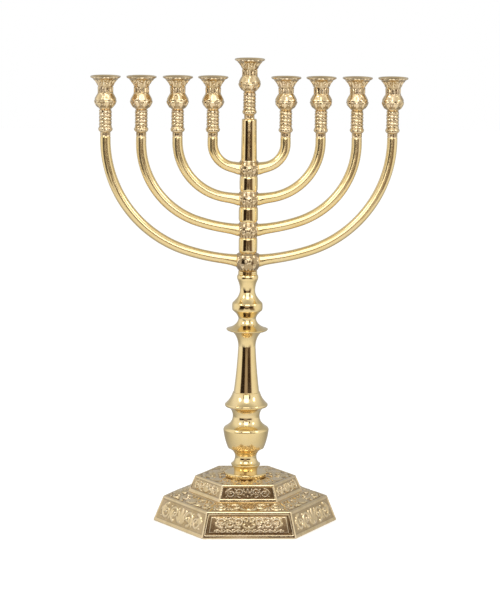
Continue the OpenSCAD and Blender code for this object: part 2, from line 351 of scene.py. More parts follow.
def ramp(tree, fac, stops):
    """Colour ramp through (position, grey or colour) stops."""
    n = add(tree, "ValToRGB", {"Fac": fac})
    e = n.color_ramp.elements
    while len(e) < len(stops):
        e.new(0.5)
    for el, (pos, colour) in zip(e, stops):
        el.position = pos
        el.color = (*colour, 1) if isinstance(colour, tuple) else (colour, colour, colour, 1)
    return n.outputs["Color"]


def span(tree, value, a, b, c, d):
    """value mapped from a..b to c..d, held at the ends."""
    return add(tree, "MapRange", {"Value": value, "From Min": a, "From Max": b,
                                  "To Min": c, "To Max": d}).outputs["Result"]


def mixed(tree, fac, a, b):
    """Colour a turned into b by the factor."""
    n = add(tree, "Mix", data_type="RGBA", blend_type="MIX")
    for key, value in (("Factor", fac), ("A", a), ("B", b)):
        socket = [s for s in n.inputs if s.name == key
                  and s.type == ("VALUE" if key == "Factor" else "RGBA")][0]
        if isinstance(value, bpy.types.NodeSocket):
            tree.links.new(value, socket)
        else:
            socket.default_value = value
    return [s for s in n.outputs if s.type == "RGBA"][0]


def polished_brass(name, haze, metal):
    """Polished and lacquered brass with fine turning lines and hairline scratches."""
    mat, tree, bsdf, coord = shader(name)
    cloud = noise_tex(tree, coord, 55, 4)
    tone = ramp(tree, cloud, [(0.3, (0.82, 0.63, 0.29)), (0.52, (0.86, 0.675, 0.34)),
                              (0.75, (0.84, 0.67, 0.38))])
    lines = noise_tex(tree, coord, 60, 5, 0.7, (1, 1, 42))
    hair = noise_tex(tree, coord, 260, 3, 0.6, (9, 1, 1))
    tree.links.new(tone, bsdf.inputs["Base Color"])
    bsdf.inputs["Metallic"].default_value = metal
    tree.links.new(add(tree, "Math", {0: span(tree, lines, 0.3, 0.7, haze, haze + 0.06),
                                      1: span(tree, cloud, 0.4, 0.7, 0, 0.04)},
                       operation="ADD").outputs[0], bsdf.inputs["Roughness"])
    b1 = add(tree, "Bump", {"Strength": 0.05, "Distance": 0.0002, "Height": lines})
    b2 = add(tree, "Bump", {"Strength": 0.03, "Distance": 0.0002, "Height": hair,
                            "Normal": b1.outputs[0]})
    b3 = add(tree, "Bump", {"Strength": 0.07, "Distance": 0.0006,
                            "Height": noise_tex(tree, coord, 120, 2),
                            "Normal": b2.outputs[0]})
    tree.links.new(b3.outputs[0], bsdf.inputs["Normal"])
    bsdf.inputs["Coat Weight"].default_value = 0.35
    bsdf.inputs["Coat Roughness"].default_value = 0.12
    return mat


def cast_brass(name, warm, gloss, brown):
    """Cast brass with a fine grain: brown patina in the sunk relief, painted shade in creases, and
    edges paled by wear and a painted highlight.
    """
    mat, tree, bsdf, coord = shader(name)
    depth = add(tree, "Attribute", attribute_name="relief").outputs["Fac"]
    cloud = noise_tex(tree, coord, 90, 4)
    grain = noise_tex(tree, coord, 1300, 3, 0.6)
    tone = ramp(tree, cloud, [(0.3, (0.72, 0.54, 0.31 - warm)), (0.5, (0.81, 0.63, 0.39 - warm)),
                              (0.72, (0.84, 0.65, 0.45 - warm))])
    # brown: patina where the relief attribute is sunk (inside the cups it also holds painted shade),
    # and painted shade in concave creases found by pointiness
    low = span(tree, depth, -1.1, 0.05, 1, 0)
    point = add(tree, "NewGeometry").outputs["Pointiness"]
    painted_crease_shade = span(tree, point, 0.42, 0.497, 1, 0)
    both = add(tree, "Math", {0: low, 1: painted_crease_shade}, operation="MAXIMUM").outputs[0]
    both = add(tree, "Math", {0: both, 1: span(tree, grain, 0.3, 0.7, 0.65, 1.0)},
               operation="MULTIPLY").outputs[0]
    tone = mixed(tree, both, tone, brown)
    # pale convex edges: rubbed wear and a painted highlight
    wear_and_highlight = span(tree, point, 0.505, 0.56, 0, 0.55)
    tone = mixed(tree, wear_and_highlight, tone, (0.97, 0.89, 0.72, 1))
    tree.links.new(tone, bsdf.inputs["Base Color"])
    bsdf.inputs["Metallic"].default_value = 1
    base = span(tree, grain, 0.3, 0.7, gloss - 0.04, gloss + 0.05)
    more = add(tree, "Math", {0: base, 1: span(tree, both, 0, 1, 0, 0.06)}, operation="ADD")
    tree.links.new(more.outputs[0], bsdf.inputs["Roughness"])
    b1 = add(tree, "Bump", {"Strength": 0.12, "Distance": 0.0003, "Height": grain})
    b2 = add(tree, "Bump", {"Strength": 0.12, "Distance": 0.001,
                            "Height": noise_tex(tree, coord, 260, 3),
                            "Normal": b1.outputs[0]})
    tree.links.new(b2.outputs[0], bsdf.inputs["Normal"])
    bsdf.inputs["Coat Weight"].default_value = 0.2
    bsdf.inputs["Coat Roughness"].default_value = 0.1
    return mat


def plated_steel():
    """Dull plated steel, slightly stained."""
    mat, tree, bsdf, coord = shader("plated_steel")
    cloud = noise_tex(tree, coord, 220, 5)
    tone = ramp(tree, cloud, [(0.3, (0.5, 0.5, 0.5)), (0.55, (0.62, 0.62, 0.64)),
                              (0.8, (0.5, 0.42, 0.3))])
    tree.links.new(tone, bsdf.inputs["Base Color"])
    bsdf.inputs["Metallic"].default_value = 1
    tree.links.new(span(tree, noise_tex(tree, coord, 700, 3), 0.3, 0.7, 0.3, 0.5),
                   bsdf.inputs["Roughness"])
    b = add(tree, "Bump", {"Strength": 0.2, "Distance": 0.0003,
                           "Height": noise_tex(tree, coord, 60, 4, 0.6, (1, 1, 30))})
    tree.links.new(b.outputs[0], bsdf.inputs["Normal"])
    return mat


POLISHED = polished_brass("polished_brass", 0.07, 1.0)
ARMS = polished_brass("arm_brass", 0.11, 0.9)
STEEL = plated_steel()
CAST = cast_brass("cast_brass", 0.035, 0.16, (0.16, 0.085, 0.03, 1))
CUP = cast_brass("cup_brass", 0.03, 0.13, (0.17, 0.095, 0.035, 1))


# ---------------------------------------------------------------- stem

ROD_HOLE = 3.06
STUD_HOLE = 2.56
SEG = 160


def turned_piece(name, outside):
    """A turned ring on the tie rod, from its outline as (radius, height) points from its foot."""
    low, high = node_box(name)
    scale = (high[2] - low[2]) / outside[-1][1]
    outside = [(r, z * scale) for r, z in outside]
    obj = revolve(name + "_turned", with_bore(outside, ROD_HOLE), (0, 0, low[2]), SEG)
    return finish_piece(obj, "stand", "polished_brass", POLISHED, name)


turned_piece("foot_disc", [(16.5, 0), (16.9, 0.15), (17, 0.5), (17, 1.9)]
             + bend((17, 1.9), (17, 3.2), (15.6, 3.2)) + [(9, 3.2)])

turned_piece("lower_knop",
             [(9.6, 0), (9.6, 1.2)] + bend((9.6, 1.2), (9.8, 3.8), (12, 6), 10)
             + [(12.0, 6.8)] + bend((12, 6.8), (8.8, 8.6), (8.8, 13.2))
             + bend((8.8, 13.2), (9.2, 17.6), (14.7, 20))
             + bend((14.7, 20), (17.7, 27), (18.6, 35.2), 20)
             + bend((18.6, 35.2), (18.5, 36.6), (17.2, 37.6), 8)
             + bend((17.2, 37.6), (11, 41), (11, 46.6), 20)
             + bend((11, 46.6), (11.1, 50), (12.9, 52.4)))

turned_piece("column",
             [(12.9, 0)] + bend((12.9, 0), (14.6, 1.5), (17, 2.2), 8)
             + bend((17, 2.2), (17.8, 3), (17.4, 4.2), 5)
             + bend((17.4, 4.2), (12.7, 8.4), (11.2, 13.6), 18)
             + [(11.1, 14.0), (10.5, 14.2), (10.4, 14.5)]
             + bend((10.35, 15), (8, 33), (7.1, 52), 40)
             + bend((7.1, 52), (7.2, 60), (12.4, 64.4), 20))

turned_piece("upper_knop",
             [(12.6, 0), (15.6, 0.6)] + bend((15.6, 0.6), (17, 1.1), (16.9, 2.1), 6)
             + bend((16.9, 2.1), (8.4, 4.4), (7.2, 10.2), 24)
             + bend((7.2, 10.2), (7.3, 13.6), (11.8, 17.2), 18)
             + bend((11.8, 17.2), (12.35, 17.8), (12.4, 18.6), 5)
             + bend((12.4, 18.6), (12.62, 20.5), (12.4, 22.4), 8)
             + bend((12.4, 22.4), (12.35, 23.2), (11.8, 23.9), 5)
             + bend((11.8, 23.9), (6.2, 29), (6.2, 34), 24)
             + bend((6.2, 34), (6.3, 38.6), (8.2, 42.4), 20)
             + bend((8.2, 42.4), (9.2, 44.8), (8.1, 46.6), 12)
             + [(7.55, 47.0), (7.75, 47.2), (7.75, 48.2), (7.45, 48.35), (7.45, 48.5),
                (7.75, 48.65), (7.75, 49.65), (7.4, 50)])

for k, widest in ((1, 7.45), (2, 7.85), (3, 7.65)):
    side = widest - 0.06
    turned_piece(f"spacer_{k}",
                 [(6.6, 0)] + bend((6.6, 0.05), (widest - 0.12, 0.1), (side, 2.0), 12)
                 + bend((side, 2.0), (widest, 6), (side, 10.0), 14)
                 + bend((side, 10.0), (widest - 0.12, 11.9), (6.6, 11.95), 12) + [(6.6, 12)])

low, high = node_box("post")
top = high[2] - low[2]
post_outside = ([(6.5, 0), (6.5, 3), (6.3, 12), (6.05, top - 1.2)]
                + bend((6.05, top - 1.2), (6.0, top), (5.3, top), 6))
post = revolve("post_turned", with_bore(post_outside, STUD_HOLE), (0, 0, low[2]), SEG)
finish_piece(post, "stand", "polished_brass", POLISHED, "post")


# ---------------------------------------------------------------- threads, washer and nut

def thread(name, node, radius, pitch, body, material, slot):
    """A threaded rod with chamfered ends in place of a plain one."""
    low, high = node_box(node)
    centre = (low + high) / 2
    length = high[2] - low[2]
    z = np.linspace(0, length, int(length / pitch * 8))
    outline = [(0.02, 0)] + [(radius, v) for v in z] + [(0.02, length)]

    def helix(t, r, h):
        saw = (h / pitch - t / TAU) % 1
        groove = radius * 0.13 * (1 - np.abs(2 * saw - 1))
        full = step(0, 0.6, h) * step(0, 0.6, length - h)
        return -groove * ((r > 1) * full) - 0.35 * (r > 1) * (1 - full)

    obj = revolve(name, outline, (centre[0], centre[1], low[2]), 24, helix, sharp=60)
    return finish_piece(obj, body, slot, material, node)


thread("tie_rod_threaded", "tie_rod", 3.0, 1.0, "stand", STEEL, "plated_steel")

low, high = node_box("clamp_washer")
washer = revolve("clamp_washer_pressed", even(
    [(3.1, 0), (8.7, 0), (9, 0.35), (9, 1.3), (8.8, 1.6), (3.3, 1.6), (3.1, 1.4)], 1),
    (0, 0, low[2]), 72)
finish_piece(washer, "stand", "plated_steel", STEEL, "clamp_washer")

# the nut is a chamfered turning cut off by the hexagon's flats
low, high = node_box("clamp_nut")
NUT_FLAT_R = 5.0
theta = np.arange(72) * TAU / 72
flat = np.abs((theta + math.pi / 6) % (math.pi / 3) - math.pi / 6)
hexagon = NUT_FLAT_R / np.cos(math.pi / 6 - flat)
rows = []
for widest, z in [(3.1, 0.4), (3.6, 0), (5.1, 0), (9, 0.55), (9, 4.45), (5.1, 5), (3.6, 5), (3.1, 4.6)]:
    r = np.minimum(widest, hexagon)
    rows.append(np.stack([r * np.cos(theta), r * np.sin(theta), low[2] + z + 0 * theta], -1))
nut = mesh_object("clamp_nut_hex", np.concatenate(rows),
                  [grid_faces(len(rows), len(theta), wrap_rows=True)], sharp=25)
finish_piece(nut, "stand", "plated_steel", STEEL, "clamp_nut")


# ---------------------------------------------------------------- branches

BAR_R = 4.2
ARM_START = 4.6
ARM_SPACING = 0.9
HUB_TOP = 6.5


def bend_path(bend_x, bend_z, reach, seat, hub_z):
    """Centre line of one side of a branch, as (x, z) points and their directions: a shallow arc from
    near the stem, a tighter one round (bend_x, bend_z), and straight up to the cup's seat."""
    bend_r = reach - bend_x
    depth = bend_z - hub_z
    shallow = (bend_x ** 2 + depth ** 2 - bend_r ** 2) / (2 * (depth - bend_r))
    swing = math.atan2(bend_x, hub_z + shallow - bend_z)
    first = math.asin(ARM_START / shallow)
    pts, dirs = [], []
    for a in np.linspace(first, swing, max(3, int(shallow * (swing - first) / ARM_SPACING)))[:-1]:
        pts.append((shallow * math.sin(a), hub_z + shallow - shallow * math.cos(a)))
        dirs.append((math.cos(a), math.sin(a)))
    count = int(bend_r * (math.pi / 2 - swing) / ARM_SPACING) + 3
    for a in np.linspace(swing, math.pi / 2, count):
        pts.append((bend_x + bend_r * math.sin(a), bend_z - bend_r * math.cos(a)))
        dirs.append((math.cos(a), math.sin(a)))
    for z in np.linspace(bend_z, seat, 7)[1:]:
        pts.append((reach, z))
        dirs.append((0, 1))
    return np.array(pts), np.array(dirs)


def hub_relief(r_hub, drop, turn):
    """Cast flowers, turned by an angle, and leaves round a hub, with a ribbed collar at its foot."""
    strokes = []
    flowers = 6
    for i in range(-1, flowers + 1):
        u = (i + 0.5) / flowers * TAU
        strokes += flower(u * r_hub, 0.4, 2.7, 6, 0.5, turn)
        v = i / flowers * TAU * r_hub
        strokes += [leaf(v, -drop + 2.4, 4.2, math.pi / 2 - 0.45, 0.75, 0.6, 0.42),
                    leaf(v, -drop + 2.4, 4.2, math.pi / 2 + 0.45, 0.75, -0.6, 0.42),
                    leaf(v, 2.2, 3.2, math.pi / 2, 0.8, 0.0, 0.4)]

    def shape(t, r, z):
        u = t * r_hub
        h = ornament(u, z, strokes) * 1.2 - 0.36
        ribs = 0.22 * np.cos(t * 18) * (1 - step(-drop + 1.2, -drop + 2.6, z))
        fade = step(-drop, -drop + 0.6, z) * (1 - step(HUB_TOP - 0.9, HUB_TOP - 0.1, z))
        return np.where(r > 5, (h + ribs) * fade, 0)
    return shape


def branch(k, bend_r, end, hub_r, drop):
    """Both arms and the hub of branch k. bend_r is the outer bend's radius, end the straight length
    below the seat, and drop how far the hub reaches below the arms."""
    node = f"arm_{k}"
    _, high = node_box(node)
    seat = high[2]
    joint = [j for j in frame["record"]["behaviour"]["joints"]
             if j["name"] == f"branch_{k}_swivel"][0]
    hub_z = joint["pos_m"][2] / MM
    reach = high[0] - BAR_R
    pts, dirs = bend_path(reach - bend_r, seat - end, reach, seat, hub_z)
    run = np.concatenate([[0], np.cumsum(np.linalg.norm(np.diff(pts, axis=0), axis=1))])
    around = 48
    phi = np.arange(around) * TAU / around
    swell = np.exp(-np.clip(run - (hub_r - ARM_START), 0, None) / 4.2)
    under = np.stack([dirs[:, 1], -dirs[:, 0]], -1)
    verts, faces, count = [], [], 0
    for side in (-1, 1):
        ring = []
        for i, (p, u) in enumerate(zip(pts, under)):
            c, s = np.cos(phi), np.sin(phi)
            r = BAR_R + swell[i] * (0.5 + 1.1 * np.clip(c, 0, 1) - 0.3 * np.clip(-c, 0, 1))
            if run[-1] - run[i] < 0.4:
                r = r - 0.25 * (1 - (run[-1] - run[i]) / 0.4)
            x = p[0] + u[0] * r * c
            z = p[1] + u[1] * r * c
            y = r * s
            ring.append(np.stack([side * x, side * y, z], -1))
        ring = np.array(ring)
        root_c = np.full((1, around, 3), 0.0) + np.array([side * pts[0][0], 0, pts[0][1]])
        seat_c = np.full((1, around, 3), 0.0) + np.array([side * pts[-1][0], 0, pts[-1][1]])
        hole = np.array([0, 0, 3.0])
        grid = np.concatenate([ring[:1] * 0.02 + root_c * 0.98, ring,
                               ring[-1:] * 0.62 + seat_c * 0.38,
                               ring[-1:] * 0.6 + seat_c * 0.4 - hole,
                               ring[-1:] * 0.02 + seat_c * 0.98 - hole])
        grid[:, :, 1] += rough(grid, 9, 7 * k + side, 2) * 0.05
        faces.append(grid_faces(len(grid), around, count, flip=True))
        verts.append(grid.reshape(-1, 3))
        count += grid.shape[0] * around
    bars = mesh_object(f"arm_{k}_bars", np.concatenate(verts), faces, sharp=50)
    r = hub_r
    outline = ([(7, -drop)] + bend((7, -drop), (r - 0.6, -drop + 1.4), (r, -2.5), 14)
               + bend((r, -2.5), (r + 0.3, 0.6), (r - 0.4, 3), 14)
               + bend((r - 0.4, 3), (r - 1, 5.4), (6.8, HUB_TOP), 10))
    hub = revolve(f"arm_{k}_hub", with_bore(outline, ROD_HOLE, 0.34), (0, 0, hub_z),
                  144, hub_relief(r, drop, 0.3 * k), sharp=None, stain=2.0)
    finish_piece(bars, f"branch_{k}", "polished_brass", ARMS, node)
    finish_piece(hub, f"branch_{k}", "polished_brass", CUP, node)


# bend radius, straight end, hub radius and hub drop, from the inner branch to the outer
BRANCHES = ((19, 5.5, 8.8, 6.5), (46, 3.5, 8.8, 6.5), (67, 5, 8.8, 6.5), (95, 2, 10.4, 8.7))
for k, sizes in enumerate(BRANCHES, 1):
    branch(k, *sizes)


# ---------------------------------------------------------------- cups

# Heights and radii along a cup, from its seat: shank, bulb and throat
SHANK_Z, SHANK_R = 7.2, 5.1
BULB_Z = 22.4
THROAT_Z, THROAT_R = 35.4, 5.95
SOCKET_R = 5
GIRTH_R = 9.1
SHANK_PITCH = 2.78


def cup_outline(height, rim):
    """Outline of a cup, up the outside and down the inside, and how many points are outside."""
    out = [(3.9, 0), (4.15, 0.3), (4.15, 3.4)] + bend((4.15, 3.4), (5.6, 4.2), (5.8, 5.4), 6)
    out += bend((5.8, 5.4), (5.9, 6.6), (SHANK_R, SHANK_Z), 6)
    out += [(SHANK_R, BULB_Z - 1.3), (4.5, BULB_Z - 1.0), (4.5, BULB_Z - 0.6),
            (SHANK_R, BULB_Z - 0.1)]
    out += bend((SHANK_R, BULB_Z - 0.1), (7.3, 24.2), (8.4, 26.8), 14)
    out += bend((8.4, 26.8), (9.4, 29.0), (8.3, 31.0), 14)
    out += bend((8.3, 31.0), (7.1, 33.2), (THROAT_R, THROAT_Z), 14) + [(THROAT_R, THROAT_Z + 1)]
    out += bend((THROAT_R, THROAT_Z + 1), (THROAT_R - 0.2, 44.6), (rim - 0.7, height - 1.5), 20)
    out += bend((rim - 0.7, height - 1.5), (rim + 0.05, height - 1.2), (rim, height - 0.6), 6)
    out += bend((rim, height - 0.6), (rim, height), (rim - 0.5, height), 5)
    outside = even(out, 0.36)
    inside = ([(rim - 0.6, height)]
              + bend((rim - 0.7, height - 0.1), (6.3, 44.0), (SOCKET_R, 40), 12)
              + [(SOCKET_R, 25), (0.02, 24.8), (0.02, 6.5), (STUD_HOLE, 6.5), (STUD_HOLE, 0)])
    return np.concatenate([outside, even(inside, 1.1)]), len(outside)


def cup_relief(seed, height, outside):
    """Cast ornament of a cup whose outline has that many points outside, and the angle by which this
    cup is turned."""
    leaves = []
    count = 7
    for i in range(-1, count + 1):
        c = (i + 0.5) / count * TAU * GIRTH_R
        way = 1 if i % 2 else -1
        leaves += [leaf(c, 23.2, 6.6, math.pi / 2 + 0.28 * way, 1.6, -0.5 * way, 0.62),
                   leaf(c - 2.3, 24.6, 4.4, math.pi / 2 - 0.5, 0.9, 0.6, 0.45),
                   leaf(c + 2.3, 24.6, 4.4, math.pi / 2 + 0.5, 0.9, -0.6, 0.45),
                   scroll(c + 4.1, 30.4, 1.7, 1.1, math.pi * 0.5, way, 0.5, 0.5),
                   ball(c + 4.1, 26.2, 0.8, 0.5), ball(c + 0.2, 31.9, 0.7, 0.45)]
    bells = []
    count = 8
    for i in range(-1, count + 1):
        c = (i + 0.5) / count * TAU * GIRTH_R
        way = 1 if i % 2 else -1
        bells += [scroll(c, 44.4, 2.1, 1.2, 0.5 * math.pi, way, 0.62, 0.5),
                  leaf(c + 3.6, 40.4, 5.4, math.pi / 2 + 0.2 * way, 0.95, -0.4 * way, 0.45),
                  ball(c + 1.8, 47.0, 0.6, 0.4), ball(c - 1.8, 41.6, 0.6, 0.35),
                  leaf(c - 1.6, 34.6, 5.0, math.pi / 2 + 0.3 * way, 1.1, -0.5 * way, 0.4),
                  leaf(c + 2.4, 35.4, 4.6, math.pi / 2 - 0.3 * way, 0.9, 0.5 * way, 0.4)]
    turn = np.random.default_rng(seed).random() * TAU

    def shape(t, rad, z):
        u = t * GIRTH_R
        bulb = step(22.6, 23.6, z) * (1 - step(28.2, 29.0, z))
        crown = step(29.8, 30.6, z) * (1 - step(33.0, 34.4, z))
        bell = step(34.6, 35.4, z) * (1 - step(45.6, 46.6, z))
        h = (ornament(u, z, leaves) * 1.2 - 0.3) * bulb
        h = h + 0.16 * np.cos(t * 8) * crown - 0.3 * np.exp(-((z - 29.4) / 0.3) ** 2)
        h = h + (ornament(u, z, bells) * 1.35 - 0.2) * bell
        h = h - (0.14 - 0.14 * np.cos(t * 18)) * step(46.4, 47.2, z)
        ring = (z - SHANK_Z) / SHANK_PITCH + t / TAU
        rope = step(SHANK_Z, SHANK_Z + 0.8, z) * (1 - step(20.6, 21.3, z))
        h = h + rope * (0.5 * np.abs(np.sin(math.pi * ring)) - 0.46
                        + 0.1 * np.cos(t * 9 + ring * 9))
        bead = np.exp(-((z - 5.5) / 0.7) ** 2)
        h = h - 0.35 * bead * step(0.1, 0.9, np.cos(t * 9))
        neck = step(0.4, 1.1, z) * (1 - step(2.8, 3.5, z))
        h = h - 0.42 * neck * step(0.0, 0.9, np.cos(t * 7))
        h = h + 0.05 * noise(rad * np.cos(t), rad * np.sin(t), z, 2.2, seed)
        h = h * (1 - step(height - 0.5, height - 0.2, z))
        h[outside:] = 0
        return h
    return shape, turn


tags = [n[4:] for n in frame["nodes"] if n.startswith("cup_")]
for i, tag in enumerate(sorted(tags)):
    low, high = node_box(f"cup_{tag}")
    centre = (low + high) / 2
    height = high[2] - low[2]
    outline, outside = cup_outline(height, (high[0] - low[0]) / 2)
    shape, turn = cup_relief(100 + i, height, outside)
    # painted shade: the inside of each cup is darkened to the patina's brown
    painted_inside_shade = 1.5 * step(outside + 1, outside + 3, np.arange(len(outline)))
    cup = revolve(f"cup_{tag}_cast", outline, (0, 0, 0), 112, shape, sharp=55,
                  stain=2.2, painted_inside_shade=painted_inside_shade)
    spin = np.array([[math.cos(turn), -math.sin(turn), 0], [math.sin(turn), math.cos(turn), 0],
                     [0, 0, 1]])
    co = np.empty(len(cup.data.vertices) * 3, np.float32)
    cup.data.vertices.foreach_get("co", co)
    co = co.reshape(-1, 3) @ spin.T.astype(np.float32)
    co += np.array([centre[0], centre[1], low[2]], np.float32) * MM
    cup.data.vertices.foreach_set("co", co.ravel())
    cup.data.update()
    finish_piece(cup, f"light_{tag}", "cast_brass", CUP, f"cup_{tag}")
    thread(f"stud_{tag}_threaded", f"stud_{tag}", 2.5, 0.8, f"screw_{tag}", POLISHED,
           "polished_brass")


# ---------------------------------------------------------------- base

_, base_high = node_box("base")
CORNER = base_high[0]
WALL = 3.4
TOP_Z = base_high[2]
SIDE = 140


def hex_loop(corner, z, round_r, samples):
    """A hexagon with rounded corners on the X axis and flat sides facing -Y and +Y. Returns the
    points, the distance along each side from its middle, and the side's number."""
    tangent = round_r * math.tan(math.pi / 6)
    half = corner / 2
    s = np.linspace(-half, half, samples, endpoint=False) + half / samples
    over = np.clip((np.abs(s) - (half - tangent)) / max(tangent, 1e-6), 0, 1)
    angle = over * math.pi / 6 * np.sign(s)
    flat = np.clip(s, -(half - tangent), half - tangent)
    apothem = corner * HEX
    along = flat + round_r * np.sin(angle)
    out = apothem - round_r + round_r * np.cos(angle)
    pts, sides = [], []
    for k in range(6):
        a = -math.pi / 2 + k * math.pi / 3
        n = np.array([math.cos(a), math.sin(a)])
        t = np.array([-math.sin(a), math.cos(a)])
        p = out[:, None] * n + along[:, None] * t
        pts.append(np.column_stack([p, np.full(samples, z)]))
        sides.append(np.full(samples, k))
    return np.concatenate(pts), np.tile(s, 6), np.concatenate(sides)


def loft(name, profile, rounds, regions, seed):
    """A closed ring through hexagons. profile is a loop of (corner radius, height) points and rounds
    how far each hexagon's corners are rounded; a region is (label, its rows, their distance up its
    slant, the slant's length, half width of each row)."""
    rows, along, side = [], [], []
    for (r, z), c in zip(profile, rounds):
        p, s, k = hex_loop(r, z, c, SIDE)
        rows.append(p)
        along.append(s)
        side.append(k)
    grid = np.array(rows)
    along, side = np.array(along), np.array(side)
    du = np.roll(grid, -1, 1) - np.roll(grid, 1, 1)
    dv = np.roll(grid, -1, 0) - np.roll(grid, 1, 0)
    normal = np.cross(du, dv)
    normal /= np.maximum(np.linalg.norm(normal, axis=2, keepdims=True), 1e-9)
    height = np.zeros(along.shape)
    for label, rows_in, t, slant, half in regions:
        s = along[rows_in]
        tt = np.repeat(t[:, None], s.shape[1], 1)
        hh = np.repeat(half[:, None], s.shape[1], 1)
        for k in range(6):
            sel = side[rows_in] == k
            height[rows_in] = np.where(sel, face_height(label, k, s, tt, slant, hh),
                                       height[rows_in])
    wave = rough(grid, 26, seed, 2) * 0.22 + rough(grid, 5, seed + 9, 2) * 0.05
    wave = wave * step(0.0, 3.0, grid[..., 2]) * (1 - 0.9 * step(-3, 0, -np.hypot(
        grid[..., 0], grid[..., 1]) + 17))
    grid = grid + normal * (height + wave)[..., None]
    grid[..., 2] = np.maximum(grid[..., 2], 0)
    return mesh_object(name, grid.reshape(-1, 3),
                       [grid_faces(grid.shape[0], grid.shape[1], wrap_rows=True)], sharp=None,
                       attributes={"relief": height})


def raised(strokes, lift, s, t):
    """Height of a panel's ornament at (s, t), with the strokes moved up the slant by lift."""
    return ornament(s, t, [(p + np.array([0, lift]), w, h, v) for p, w, h, v in strokes])


def face_height(label, k, s, t, slant, half):
    """Height of the cast surface over the plain face k of a region, at the distance s along the face
    from its middle and t up its slant. The faces at the front and back are set deeper."""
    deep = k in (0, 3)
    edge = np.minimum(np.minimum(t, slant - t),
                      (half - np.abs(s)) * (0.78 if deep and label == "lower" else 0.97))
    if label == "lower" and deep:
        border, inner = 1.5, 4.2
        width = 30.5 - inner
        sunk = -(2.4 - 0.08 * t) * step(border - 0.2, border + 0.9, edge)
        plinth = step(inner - 1.0, inner - 0.4, edge)
        main = panel_strokes(width + 1.0, slant - 2 * inner - 0.8, 31 + k, 1.25)
        strip = vine_strokes(width + 1.5, 3.2, 4.2, 0.5)
        relief = np.maximum(raised(main, inner + 2.0, s, t), raised(strip, inner - 0.9, s, t))
        return sunk + plinth + relief * 2.0 * step(inner - 1.0, inner - 0.2, edge)
    if label == "lower":
        border, inner = 1.5, 2.7
        main = panel_strokes(33.0 - inner, slant - 2 * inner, 31 + k, 1.35)
        sunk = -0.5 * step(border - 0.2, border + 0.4, edge)
        return sunk + raised(main, inner, s, t) * 1.5 * step(inner - 1.0, inner - 0.2, edge)
    if label == "ledge":
        main = panel_strokes(29, slant - 2.6, 61 + k % 3, 1.35)
        return (raised(main, 1.3, s, t) * 1.8 - 0.4) * step(0.7, 1.5, edge)
    if label == "upper":
        border = 1.3
        depth, rise = (2.2, 1.45) if deep else (0.7, 1.3)
        sunk = -depth * (1 - 0.045 * t) * step(border - 0.3, border + 0.5, edge)
        main = panel_strokes(18, slant - 2 * border - 1, 81 + k % 3, 1.1)
        relief = raised(main, border + 0.5, s, t)
        return sunk + relief * step(border + 0.3, border + 1.0, edge) * rise
    main = panel_strokes(18, slant - 5, 91 + k % 3, 1.35)
    return (raised(main, 1.6, s, t) * 1.5 - 0.6) * step(0.7, 1.4, edge)


def ring_rows(parts):
    """Joins profile parts, (label or None, start, end, spacing, corner rounding), into one loop for
    loft and notes which rows carry an ornament."""
    profile, rounds, regions = [], [], []
    for label, a, b, spacing, corner in parts:
        a, b = np.array(a, float), np.array(b, float)
        run = np.array([(b[0] - a[0]) * HEX, b[1] - a[1]])
        slant = np.linalg.norm(run)
        n = max(1, int(round(slant / spacing)))
        t = np.arange(n) / n
        start = len(profile)
        for v in t:
            profile.append(tuple(a + (b - a) * v))
            rounds.append(corner)
        if label:
            rows = np.arange(start, start + n)
            radius = np.array([profile[i][0] for i in rows])
            regions.append((label, rows, t * slant, slant, radius / 2))
    return profile, rounds, regions


# Corner radii and heights of the two tiers: faces, ledge, the lining below them and the boss that
# the nut pulls against
FINE = 0.45
lower_top, ledge_in, foot, upper_top = CORNER - 8.1, CORNER - 27.4, CORNER - 29, CORNER - 34.2
inner_low, inner_up = CORNER - WALL * 1.3, foot - WALL
z_tier, z_ledge, z_foot, z_lining = 21.0, 24.6, 26.4, 17.6
seat_r, hole_r, boss_r, z_boss, z_ceiling = 17.5, 3.6, 12.7, 30, 34.6
lower_parts = [
    (None, (CORNER - 0.9, 0), (CORNER - 0.1, 0.35), 0.5, 2.2),
    (None, (CORNER - 0.1, 0.35), (CORNER - 0.1, 1.1), 0.4, 2.2),
    (None, (CORNER - 0.1, 1.1), (CORNER - 0.3, 1.7), 0.4, 2.2),
    ("lower", (CORNER - 0.3, 1.7), (lower_top + 0.25, z_tier - 0.6), FINE, 2.0),
    (None, (lower_top + 0.25, z_tier - 0.6), (lower_top - 0.25, z_tier - 0.12), 0.3, 2.0),
    (None, (lower_top - 0.25, z_tier - 0.12), (lower_top - 0.9, z_tier + 0.08), 0.3, 2.0),
    ("ledge", (lower_top - 0.9, z_tier + 0.08), (ledge_in, z_ledge), FINE, 1.8),
    (None, (ledge_in, z_ledge), (ledge_in - 2.2, z_ledge + 0.3), 0.6, 1.5),
    (None, (ledge_in - 2.2, z_ledge + 0.3), (inner_up, 21), 3, 1.2),
    (None, (inner_up, 21), (inner_up, z_lining), 2.5, 1.2),
    (None, (inner_up, z_lining), (inner_low - 7.2, z_lining), 3, 1.2),
    (None, (inner_low - 7.2, z_lining), (inner_low, 0), 2.5, 1.2),
    (None, (inner_low, 0), (CORNER - 0.9, 0), 1.2, 1.6),
]
profile, rounds, regions = ring_rows(lower_parts)
lower = loft("base_lower_tier", profile, rounds, regions, 5)
finish_piece(lower, "stand", "cast_brass", CAST, "base")

